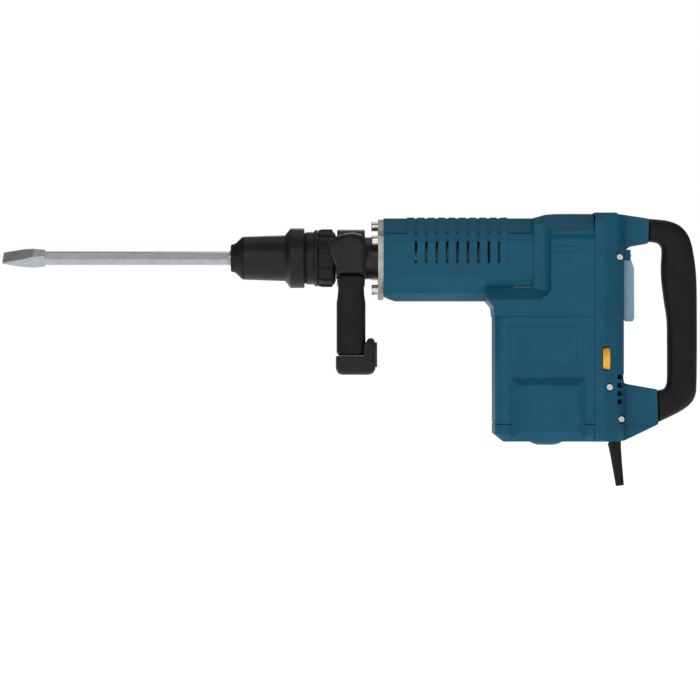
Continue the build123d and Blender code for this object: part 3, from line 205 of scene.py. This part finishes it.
def moulded(name, colour, grain, rough=(0.42, 0.55), depth=0.00003, mottle=0.08):
    """Injection-moulded plastic: spark-eroded grain, faint mottling and handling marks."""
    s = Shader(name)
    cloud = s.noise(0.03, 4)
    s.join(s.ramp(cloud, [(0.3, shade(colour, 1 - mottle)), (0.7, shade(colour, 1 + mottle))]),
           s.bsdf.inputs["Base Color"])
    s.join(s.span(s.noise(0.011, 5), *rough), s.bsdf.inputs["Roughness"])
    s.bump([(s.cells(grain), depth), (s.noise(grain * 0.45, 2), depth * 0.6), (s.noise(0.05, 1), 0.00012)])
    s.set(Specular_IOR_Level=0.2)
    return s.material


def soft_grip(name, colour, rough=(0.5, 0.66)):
    """Soft rubber over the grips, with a leathery skin."""
    s = Shader(name)
    s.join(s.ramp(s.noise(0.02, 4), [(0.3, shade(colour, 0.75)), (0.75, shade(colour, 1.35))]),
           s.bsdf.inputs["Base Color"])
    s.join(s.span(s.noise(0.006, 4), *rough), s.bsdf.inputs["Roughness"])
    s.bump([(s.cells(0.0011, feature="SMOOTH_F1"), 0.00009), (s.noise(0.0005, 2), 0.00003)])
    s.set(Specular_IOR_Level=0.18)
    return s.material


def metal(name, colour, rough=(0.25, 0.4), stretch=(1, 1, 1), size=0.0015, depth=0.00001, stain=0.85):
    """Metal with fine marks drawn out along one direction."""
    s = Shader(name)
    where = s.stretched(stretch)
    s.join(s.ramp(s.noise(0.012, 5), [(0.25, shade(colour, stain)), (0.7, shade(colour, 1.04))]),
           s.bsdf.inputs["Base Color"])
    s.join(s.span(s.noise(size, 4, where), *rough), s.bsdf.inputs["Roughness"])
    s.bump([(s.noise(size, 5, where), depth)])
    s.set(Metallic=1.0)
    return s.material


def cast(name, colour):
    """Sand-blasted die casting."""
    s = Shader(name)
    s.join(s.ramp(s.noise(0.01, 5), [(0.3, shade(colour, 0.82)), (0.7, shade(colour, 1.08))]),
           s.bsdf.inputs["Base Color"])
    s.join(s.span(s.noise(0.004, 4), 0.42, 0.6), s.bsdf.inputs["Roughness"])
    s.bump([(s.noise(0.0009, 4), 0.00006)])
    s.set(Metallic=0.9)
    return s.material


def make_materials():
    """Every finish, by the record's slot name."""
    look = finish_of()
    black, rubber = (0.010, 0.0104, 0.0112, 1), (0.006, 0.0063, 0.0068, 1)
    return {
        "blue_casing": moulded("blue_casing", look.casing, look.grain),
        "light_switch": moulded("light_switch", look.switch, look.grain, (0.34, 0.45)),
        "black_grip": soft_grip("black_grip", rubber),
        "black_plastic": moulded("black_plastic", black, 0.0008, (0.36, 0.5), 0.00004, 0.2),
        "neck_steel": metal("neck_steel", (0.05, 0.05, 0.052, 1), (0.3, 0.45), (0.15, 1, 1)),
        "cast_alloy": cast("cast_alloy", (0.42, 0.44, 0.42, 1)),
        "bright_steel": metal("bright_steel", (0.74, 0.72, 0.66, 1), (0.22, 0.36), (1, 0.2, 0.2)),
        "chisel_steel": metal("chisel_steel", (0.40, 0.42, 0.44, 1), (0.36, 0.5), (0.06, 1, 1), 0.0012),
        "machined_steel": metal("machined_steel", (0.5, 0.5, 0.51, 1), (0.2, 0.34), (1, 0.1, 0.1)),
        "core_steel": metal("core_steel", (0.34, 0.34, 0.35, 1), (0.35, 0.5), (1, 1, 8), 0.001),
        "copper": metal("copper", (0.72, 0.33, 0.16, 1), (0.28, 0.42), (1, 1, 5), 0.0012),
        "carbon": moulded("carbon", (0.03, 0.03, 0.032, 1), 0.0006, (0.5, 0.7)),
        "seal_rubber": soft_grip("seal_rubber", rubber),
        "cable_rubber": soft_grip("cable_rubber", rubber, (0.42, 0.55)),
        "dial_yellow": moulded("dial_yellow", look.dial, 0.0007, (0.3, 0.42)),
        "board": moulded("board", (0.02, 0.09, 0.04, 1), 0.001, (0.3, 0.4)),
    }


FINISHES = {}


def dress_frame():
    """Gives every carried-over node the finish of its slot."""
    for entry in frame["record"]["subparts"]:
        node = frame["nodes"][entry["node"]]
        node.data.materials.clear()
        node.data.materials.append(FINISHES[entry["material_slot"]])


# ---- Mesh helpers ----

def finish_mesh(name, mesh, finish, body, *nodes, smooth=True, levels=0):
    """Makes a finished piece from a mesh: closed, facing outwards, riding on its body."""
    work = bmesh.new()
    work.from_mesh(mesh)
    bmesh.ops.remove_doubles(work, verts=work.verts, dist=1e-7)
    bmesh.ops.recalc_face_normals(work, faces=work.faces)
    work.to_mesh(mesh)
    work.free()
    mesh.polygons.foreach_set("use_smooth", [smooth] * len(mesh.polygons))
    mesh.materials.clear()
    mesh.materials.append(FINISHES[finish])
    piece = bpy.data.objects.new(name, mesh)
    bpy.context.scene.collection.objects.link(piece)
    if levels:
        soft = piece.modifiers.new("soften", "SUBSURF")
        soft.levels = soft.render_levels = levels
    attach(piece, body)
    if nodes:
        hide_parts(*nodes)
    return piece


def ring_mesh(name, rings, caps=True):
    """Closed skin over rings of points that all have the same count."""
    work = bmesh.new()
    loops = [[work.verts.new(point) for point in ring] for ring in rings]
    count = len(rings[0])
    for a, b in zip(loops, loops[1:]):
        for i in range(count):
            work.faces.new((a[i], a[(i + 1) % count], b[(i + 1) % count], b[i]))
    if caps:
        work.faces.new(list(reversed(loops[0])))
        work.faces.new(loops[-1])
    mesh = bpy.data.meshes.new(name)
    work.to_mesh(mesh)
    work.free()
    return mesh


def bulge(angle, power):
    """Unit point of a rounded oblong: power 2 is an ellipse, higher is squarer."""
    c, s = cos(angle), sin(angle)
    return (abs(c) ** (2 / power) * (1 if c >= 0 else -1), abs(s) ** (2 / power) * (1 if s >= 0 else -1))


def smooth_through(points, steps):
    """Points along a smooth curve that passes through every given point."""
    out = []
    count = len(points)
    for i in range(count - 1):
        before = points[max(i - 1, 0)]
        a, b = points[i], points[i + 1]
        after = points[min(i + 2, count - 1)]
        for step in range(steps):
            t = step / steps
            out.append([0.5 * ((2 * q) + (r - p) * t + (2 * p - 5 * q + 4 * r - u) * t * t
                               + (3 * q - p - 3 * r + u) * t ** 3) for p, q, r, u in zip(before, a, b, after)])
    out.append(list(points[-1]))
    return out


def turned_rings(profile, turns=72):
    """Rings about the hammer axis from (x, radius) millimetre points."""
    return [[spot(x, r * cos(2 * pi * i / turns), r * sin(2 * pi * i / turns)) for i in range(turns)]
            for x, r in profile]


def rounded_profile(points, radius=0.6, steps=3):
    """Profile with its corners rounded by a short curve."""
    out = [points[0]]
    for before, here, after in zip(points, points[1:], points[2:]):
        a = Vector(before) - Vector(here)
        b = Vector(after) - Vector(here)
        reach = min(radius, a.length * 0.45, b.length * 0.45)
        p, q = Vector(here) + a.normalized() * reach, Vector(here) + b.normalized() * reach
        for step in range(steps + 1):
            t = step / steps
            out.append(tuple((1 - t) ** 2 * p + 2 * t * (1 - t) * Vector(here) + t * t * q))
    out.append(points[-1])
    return out


# ---- Rear grip ----

def make_rear_grip():
    """Soft D-shaped grip: a rounded oblong swept down the handle, fuller behind than at the fingers."""
    # Stations from the upper joint to the lower one: outer edge, then inner edge
    stations = [((510.7, 48.2), (511.2, 19.6)), ((523, 47.4), (517.5, 19.2)), ((537, 45.2), (523.4, 17.2)),
                ((549.5, 39.6), (526.6, 12.2)), ((558.4, 30), (527.2, 5.5)), ((563.3, 18.5), (526.8, -1.5)),
                ((566, 6), (526.4, -10)), ((568.4, -10), (526.6, -22)), ((569.8, -28), (527.8, -36)),
                ((570.2, -50), (530.2, -54)), ((570.3, -75), (533.4, -76)), ((570.3, -104), (533.9, -104)),
                ((570.2, -130), (534, -130)), ((569.9, -152), (533.8, -148)), ((568.9, -166), (532.6, -156)),
                ((563.6, -177), (529.6, -159.6)), ((552.5, -186), (526.4, -160.8)), ((538, -193.8),
                    (523.6, -161.2)),
                ((522.8, -200.9), (521.4, -161.8))]
    rows = smooth_through([(*a, *b) for a, b in stations], 3)
    rings, count = [], 40
    last = len(rows) - 1
    for place, (ox, oz, ix, iz) in enumerate(rows):
        middle_x, middle_z = (ox + ix) / 2, (oz + iz) / 2
        half_x, half_z = (ox - ix) / 2, (oz - iz) / 2
        share = place / last
        # Narrow where it meets the arms, fuller in the hand
        width = 17.4 - 1.1 * abs(2 * share - 1) ** 3 - 1.2 * sin(pi * share) ** 6
        ring = []
        for i in range(count):
            # Rounder behind, squarer at the fingers
            behind = i < count / 4 or i > 3 * count / 4
            u, v = bulge(2 * pi * i / count, 2.7 if behind else 3.3)
            ring.append(spot(middle_x + half_x * u, width * v, middle_z + half_z * u))
        rings.append(ring)
    mesh = ring_mesh("rear_grip_skin", rings)
    finish_mesh("rear_grip_skin", mesh, "black_grip", "housing", "rear_grip")


# ---- Painted shade behind the louvres ----

def make_louvre_shade_sheet():
    """Dark pleated sheet behind the louvres of the rear casing: painted shade that makes the slots read dark."""
    rings = []
    for step in range(25):
        x = 452 + step
        fold = 1.2 if step % 4 < 2 else -1.2
        rings.append([spot(x, fold - 1, -182), spot(x, fold + 1, -182), spot(x, fold + 1, -134),
                      spot(x, fold - 1, -134)])
    finish_mesh("louvre_shade_sheet", ring_mesh("louvre_shade_sheet", rings), "black_plastic", "housing", smooth=False)


# ---- Side handle ----

def make_side_handle():
    """Two soft grips of the side handle, necked under the yoke and swelling for the palm."""
    low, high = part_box("side_grip_near")
    mid_x = (low.x + high.x) / 2
    half_x, half_y = (high.x - low.x) / 2, (high.y - low.y) / 2
    for name in ("side_grip_near", "side_grip_far"):
        low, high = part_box(name)
        mid_y = (low.y + high.y) / 2
        outward = 1 if mid_y > 0 else -1
        top, foot = high.z, low.z
        rings, rows, count = [], 44, 36
        for row in range(rows + 1):
            t = row / rows
            z = top + (foot - top) * t
            # Waist under the yoke, a swell at the palm and a roll at the foot
            waist = 1 - 0.10 * sin(pi * min(t / 0.34, 1))
            swell = 0.05 * sin(pi * max(0, min((t - 0.34) / 0.5, 1)))
            bumps = 0.016 * cos(2 * pi * (t * 4.2)) * (1 if 0.15 < t < 0.92 else 0)
            wide = min(1.0, waist + swell)
            lip = 1 - 0.18 * max(0, (t - 0.95) / 0.05) ** 2 - 0.10 * max(0, (0.03 - t) / 0.03)
            ring = []
            for i in range(count):
                u, v = bulge(2 * pi * i / count, 3.0)
                push = 1 + (bumps if v * outward < 0.3 else 0)
                ring.append(Vector((mid_x + half_x * 0.985 * wide * lip * u,
                                    mid_y + half_y * 0.97 * wide * lip * v * push, z)))
            rings.append(ring)
        mesh = ring_mesh(name + "_skin", rings)
        finish_mesh(name + "_skin", mesh, "black_grip", "side_handle", name)


def joined(name, parts):
    """One mesh from several closed ones that stand or pass through each other."""
    work = bmesh.new()
    for part in parts:
        work.from_mesh(part)
        bpy.data.meshes.remove(part)
    mesh = bpy.data.meshes.new(name)
    work.to_mesh(mesh)
    work.free()
    return mesh


def lofted_sideways(name, stations):
    """Skin over side-view outlines of (x, z) points: each station is y, inset, outline."""
    rings = []
    for y, inset, outline in stations:
        xs, zs = [x for x, z in outline], [z for x, z in outline]
        cx, cz = (min(xs) + max(xs)) / 2, (min(zs) + max(zs)) / 2
        wide, tall = (max(xs) - min(xs)) / 2, (max(zs) - min(zs)) / 2
        rings.append([spot(cx + (x - cx) * (1 - inset / wide), y, cz + (z - cz) * (1 - inset / tall))
                      for x, z in outline])
    return ring_mesh(name, rings)


def make_side_frame():
    """Yoke on each side of the neck and the ribbed base below both grips."""
    inner = [(131, 14), (138, 24), (147, 27.5), (156, 26), (162.5, 20), (163.5, 4), (163.5, -10), (163, -22),
             (131, -22), (131, -12), (131, 2), (131, 9)]
    outer = [(118.8, 18.6), (128, 24.6), (139, 28.4), (150, 29.6), (160.5, 26.6), (165.2, 18), (165.4, -6),
             (164.6, -22), (129.4, -22), (128.6, -12), (124.6, -2), (120.6, 8)]
    between = [((a + c) / 2, (b + d) / 2) for (a, b), (c, d) in zip(inner, outer)]
    parts = []
    for side in (-1, 1):
        parts.append(lofted_sideways("yoke", [(side * 27, 1, inner), (side * 37, 0, inner),
                     (side * 41, 0, between),
                                              (side * 45, 0, outer), (side * 66, 0, outer), (side * 71, 1, outer),
                                              (side * 74, 3.2, outer), (side * 75.6, 6.4, outer)]))
    foot = [(129, -119.6), (128.4, -124), (128.6, -136), (131.5, -141.2), (136, -142.6), (168, -142.6),
            (173.5, -141), (176.6, -136), (176.8, -110), (175.4, -100), (172.4, -97.6), (168.2, -98.4),
            (166.4, -104), (166.2, -119.6)]
    ends = [(77, 7), (76, 3.6), (73.5, 1.4), (69, 0.2)]
    stations = [(-y, inset, foot) for y, inset in ends] + [(-40, 0, foot), (0, 0, foot), (40, 0, foot)]
    stations += [(y, inset, foot) for y, inset in reversed(ends)]
    parts.append(lofted_sideways("foot", stations))
    finish_mesh("side_frame", joined("side_frame", parts), "black_plastic", "side_handle", "handle_loop",
                smooth=False)


def make_base_ribs():
    """Upright ribs along the back of the base, set out in a row by nodes."""
    grower = Grower("base_ribs")
    count = grower.input("Count", "NodeSocketInt", 13)
    pitch = grower.input("Pitch", "NodeSocketVector", (0, 0.0105, 0))
    size = grower.input("Size", "NodeSocketVector", (0.0026, 0.0038, 0.030))
    first = grower.input("First", "NodeSocketVector", tuple(spot(177.2, -63, -118)))
    line = grower.add("GeometryNodeMeshLine", mode="OFFSET")
    grower.join(count, line.inputs["Count"])
    grower.join(first, line.inputs["Start Location"])
    grower.join(pitch, line.inputs["Offset"])
    rib = grower.add("GeometryNodeMeshCube")
    grower.join(size, rib.inputs["Size"])
    copies = grower.add("GeometryNodeInstanceOnPoints")
    grower.join(line.outputs["Mesh"], copies.inputs["Points"])
    grower.join(rib.outputs["Mesh"], copies.inputs["Instance"])
    grower.last = copies.outputs["Instances"]
    grower.bake("base_ribs", "black_plastic", "side_handle")


# ---- Chuck ----

def make_chuck():
    """Dust cap and the rubber skirt between the locking sleeve and the adjusting ring, turned with softened
    corners.
    """
    cap = rounded_profile([(0, 10.2), (0, 16.4), (2.2, 16.9), (5.5, 17.9), (8.6, 20.6), (11.2,
                          23.6), (14.4, 26.2),
                           (16.2, 26.3), (16.2, 15.3), (5, 15.3), (5, 10.2), (0, 10.2)], 1.6)
    mesh = ring_mesh("dust_cap_skin", turned_rings(cap), caps=False)
    finish_mesh("dust_cap_skin", mesh, "black_grip", "tool_holder", "dust_cap")
    # Rubber skirt that closes the gap between the sleeve's collar and the ring
    skirt = rounded_profile([(93, 24), (86, 24), (86, 31.2), (93, 31.2), (93, 24)], 0.5)
    finish_mesh("sleeve_skirt", ring_mesh("sleeve_skirt", turned_rings(skirt), caps=False), "black_grip",
                "adjusting_ring")


def make_ring_pads():
    """Grip pads of the adjusting ring, set round the hammer axis by nodes."""
    grower = Grower("ring_pads")
    count = grower.input("Count", "NodeSocketInt", 12)
    radius = grower.input("Radius", "NodeSocketFloat", 0.0336)
    size = grower.input("Size", "NodeSocketVector", (0.0130, 0.0080, 0.0034))
    centre = grower.input("Centre", "NodeSocketVector", tuple(spot(117.4, 0, 0)))
    circle = grower.add("GeometryNodeMeshCircle")
    grower.join(count, circle.inputs["Vertices"])
    grower.join(radius, circle.inputs["Radius"])
    # The circle is laid flat, so it is stood up across the axis
    stand = grower.add("GeometryNodeTransform")
    stand.inputs["Rotation"].default_value = (0, pi / 2, 0)
    grower.join(circle.outputs["Mesh"], stand.inputs["Geometry"])
    place = grower.add("GeometryNodeTransform")
    grower.join(stand.outputs["Geometry"], place.inputs["Geometry"])
    grower.join(centre, place.inputs["Translation"])
    outward = grower.add("ShaderNodeVectorMath", operation="SUBTRACT")
    grower.join(grower.add("GeometryNodeInputPosition").outputs["Position"], outward.inputs[0])
    grower.join(centre, outward.inputs[1])
    turn = grower.add("FunctionNodeAlignRotationToVector", axis="Z", pivot_axis="X")
    grower.join(outward.outputs["Vector"], turn.inputs["Vector"])
    pad = grower.add("GeometryNodeMeshCube")
    grower.join(size, pad.inputs["Size"])
    copies = grower.add("GeometryNodeInstanceOnPoints")
    grower.join(place.outputs["Geometry"], copies.inputs["Points"])
    grower.join(pad.outputs["Mesh"], copies.inputs["Instance"])
    grower.join(turn.outputs["Rotation"], copies.inputs["Rotation"])
    grower.last = copies.outputs["Instances"]
    grower.bake("ring_pads", "black_plastic", "adjusting_ring")


# ---- Repeated detail by nodes ----

class Grower:
    """Builds one node tree that ends in realized copies with one finish."""

    def __init__(self, name):
        self.tree = bpy.data.node_groups.new(name, "GeometryNodeTree")
        self.tree.interface.new_socket("Geometry", in_out="OUTPUT", socket_type="NodeSocketGeometry")
        self.given = self.tree.nodes.new("NodeGroupInput")
        self.result = self.tree.nodes.new("NodeGroupOutput")
        self.sockets = {}

    def input(self, name, kind, value):
        item = self.tree.interface.new_socket(name, in_out="INPUT", socket_type=kind)
        item.default_value = value
        self.sockets[name] = (item.identifier, value)
        return self.given.outputs[name]

    def add(self, kind, **settings):
        node = self.tree.nodes.new(kind)
        for key, value in settings.items():
            setattr(node, key, value)
        return node

    def join(self, output, target):
        self.tree.links.new(output, target)

    def bake(self, name, finish, body, *nodes, smooth=False):
        """Ends the tree, runs it on an empty mesh and keeps the plain result."""
        real = self.add("GeometryNodeRealizeInstances")
        paint = self.add("GeometryNodeSetMaterial")
        paint.inputs["Material"].default_value = FINISHES[finish]
        self.join(self.last, real.inputs["Geometry"])
        self.join(real.outputs["Geometry"], paint.inputs["Geometry"])
        self.join(paint.outputs["Geometry"], self.result.inputs["Geometry"])
        holder = bpy.data.objects.new(name + "_source", bpy.data.meshes.new(name + "_source"))
        bpy.context.scene.collection.objects.link(holder)
        modifier = holder.modifiers.new(name, "NODES")
        modifier.node_group = self.tree
        for identifier, value in self.sockets.values():
            modifier[identifier] = value
        graph = bpy.context.evaluated_depsgraph_get()
        mesh = bpy.data.meshes.new_from_object(holder.evaluated_get(graph))
        holder.modifiers.remove(modifier)
        bpy.data.objects.remove(holder)
        return finish_mesh(name, mesh, finish, body, *nodes, smooth=smooth)


# ---- Stage ----

def make_stage():
    stage = stage_of()
    low, high = CAD_BOX
    centre = (Vector(low) + Vector(high)) / 2
    floor_z = low[2] - 0.002
    # Wide round floor
    mesh = bpy.data.meshes.new("floor")
    disc = bmesh.new()
    bmesh.ops.create_circle(disc, cap_ends=True, segments=96, radius=30,
                            matrix=Matrix.Translation((centre.x, centre.y, floor_z)))
    disc.to_mesh(mesh)
    disc.free()
    floor = bpy.data.objects.new("floor", mesh)
    bpy.context.scene.collection.objects.link(floor)
    s = Shader("paper")
    s.join(s.ramp(s.noise(0.4, 2), [(0.3, (0.5, 0.5, 0.5)), (0.7, (0.54, 0.54, 0.54))]),
           s.bsdf.inputs["Base Color"])
    s.set(Roughness=0.9, Emission_Color=(1, 1, 1, 1), Emission_Strength=0.97)
    mesh.materials.append(s.material)

    world = bpy.data.worlds.new("studio")
    world.use_nodes = True
    # The sky is white to look at, and dim as a light
    tree = world.node_tree
    tree.nodes["Background"].inputs["Color"].default_value = (1, 1, 1, 1)
    seen = tree.nodes.new("ShaderNodeLightPath")
    dim = tree.nodes.new("ShaderNodeMapRange")
    dim.inputs["To Min"].default_value = 0.16
    dim.inputs["To Max"].default_value = 1.0
    tree.links.new(seen.outputs["Is Camera Ray"], dim.inputs["Value"])
    tree.links.new(dim.outputs["Result"], tree.nodes["Background"].inputs["Strength"])
    bpy.context.scene.world = world

    def softbox(name, place, size, power):
        light = bpy.data.lights.new(name, "AREA")
        light.shape = "RECTANGLE"
        light.size, light.size_y = size
        light.energy = power
        lamp = bpy.data.objects.new(name, light)
        lamp.location = centre + Vector(place)
        lamp.rotation_euler = (centre - lamp.location).to_track_quat("-Z", "Y").to_euler()
        bpy.context.scene.collection.objects.link(lamp)

    softbox("key", (-0.8, -2.5, 1.0), (1.6, 1.0), stage.key_power)
    softbox("fill", (1.4, -2.4, 0.2), (1.2, 1.6), stage.key_power * 0.45)
    softbox("top", (0.1, 0.2, 1.8), (2.0, 1.0), stage.key_power * 0.3)
    softbox("behind", (0.5, 2.6, 1.2), (1.6, 1.0), stage.key_power * 0.8)

    lens = bpy.data.cameras.new("camera")
    lens.lens = stage.lens
    lens.sensor_width = 36
    lens.clip_end = 50
    camera = bpy.data.objects.new("camera", lens)
    distance = stage.view_width * stage.lens / 36
    aim = Vector((centre.x, 0, centre.z))
    camera.location = aim + Vector((0, -distance, 0))
    camera.rotation_euler = (radians(90), 0, 0)
    bpy.context.scene.view_settings.view_transform = "Standard"
    bpy.context.scene.collection.objects.link(camera)
    bpy.context.scene.camera = camera


# ---- Operators, panel and run ----

class HAMMER_OT_stage(bpy.types.Operator):
    """Lay the floor, hang the lights and set the camera."""
    bl_idname = "hammer.stage"
    bl_label = "Stage"

    def execute(self, context):
        make_stage()
        return {"FINISHED"}


class HAMMER_OT_finishes(bpy.types.Operator):
    """Make the finishes and dress the carried-over pieces."""
    bl_idname = "hammer.finishes"
    bl_label = "Finishes"

    def execute(self, context):
        FINISHES.update(make_materials())
        dress_frame()
        return {"FINISHED"}


class HAMMER_OT_rear_grip(bpy.types.Operator):
    """Sweep the soft rear grip."""
    bl_idname = "hammer.rear_grip"
    bl_label = "Rear grip"

    def execute(self, context):
        make_rear_grip()
        # Dark sheet behind the louvres: painted shade inside the casing
        make_louvre_shade_sheet()
        return {"FINISHED"}


class HAMMER_OT_side_handle(bpy.types.Operator):
    """Shape the soft grips of the side handle."""
    bl_idname = "hammer.side_handle"
    bl_label = "Side handle"

    def execute(self, context):
        make_side_handle()
        make_side_frame()
        make_base_ribs()
        return {"FINISHED"}


class HAMMER_OT_chuck(bpy.types.Operator):
    """Turn the soft dust cap."""
    bl_idname = "hammer.chuck"
    bl_label = "Chuck"

    def execute(self, context):
        make_chuck()
        make_ring_pads()
        return {"FINISHED"}


class HAMMER_PT_panel(bpy.types.Panel):
    """Steps that build the hammer's looks."""
    bl_idname = "HAMMER_PT_panel"
    bl_label = "Hammer"
    bl_space_type = "VIEW_3D"
    bl_region_type = "UI"
    bl_category = "Hammer"

    def draw(self, context):
        for step in STEPS:
            self.layout.operator(step.bl_idname)


GROUPS = (HammerFinish, HammerStage)
STEPS = (HAMMER_OT_stage, HAMMER_OT_finishes, HAMMER_OT_rear_grip, HAMMER_OT_side_handle,
         HAMMER_OT_chuck)


def register():
    for item in GROUPS + STEPS + (HAMMER_PT_panel,):
        bpy.utils.register_class(item)
    bpy.types.Scene.hammer_finish = PointerProperty(type=HammerFinish)
    bpy.types.Scene.hammer_stage = PointerProperty(type=HammerStage)


def unregister():
    del bpy.types.Scene.hammer_stage
    del bpy.types.Scene.hammer_finish
    for item in reversed(GROUPS + STEPS + (HAMMER_PT_panel,)):
        bpy.utils.unregister_class(item)


def main():
    register()
    for step in STEPS:
        group, name = step.bl_idname.split(".")
        getattr(getattr(bpy.ops, group), name)()


if __name__ == "__main__":
    main()
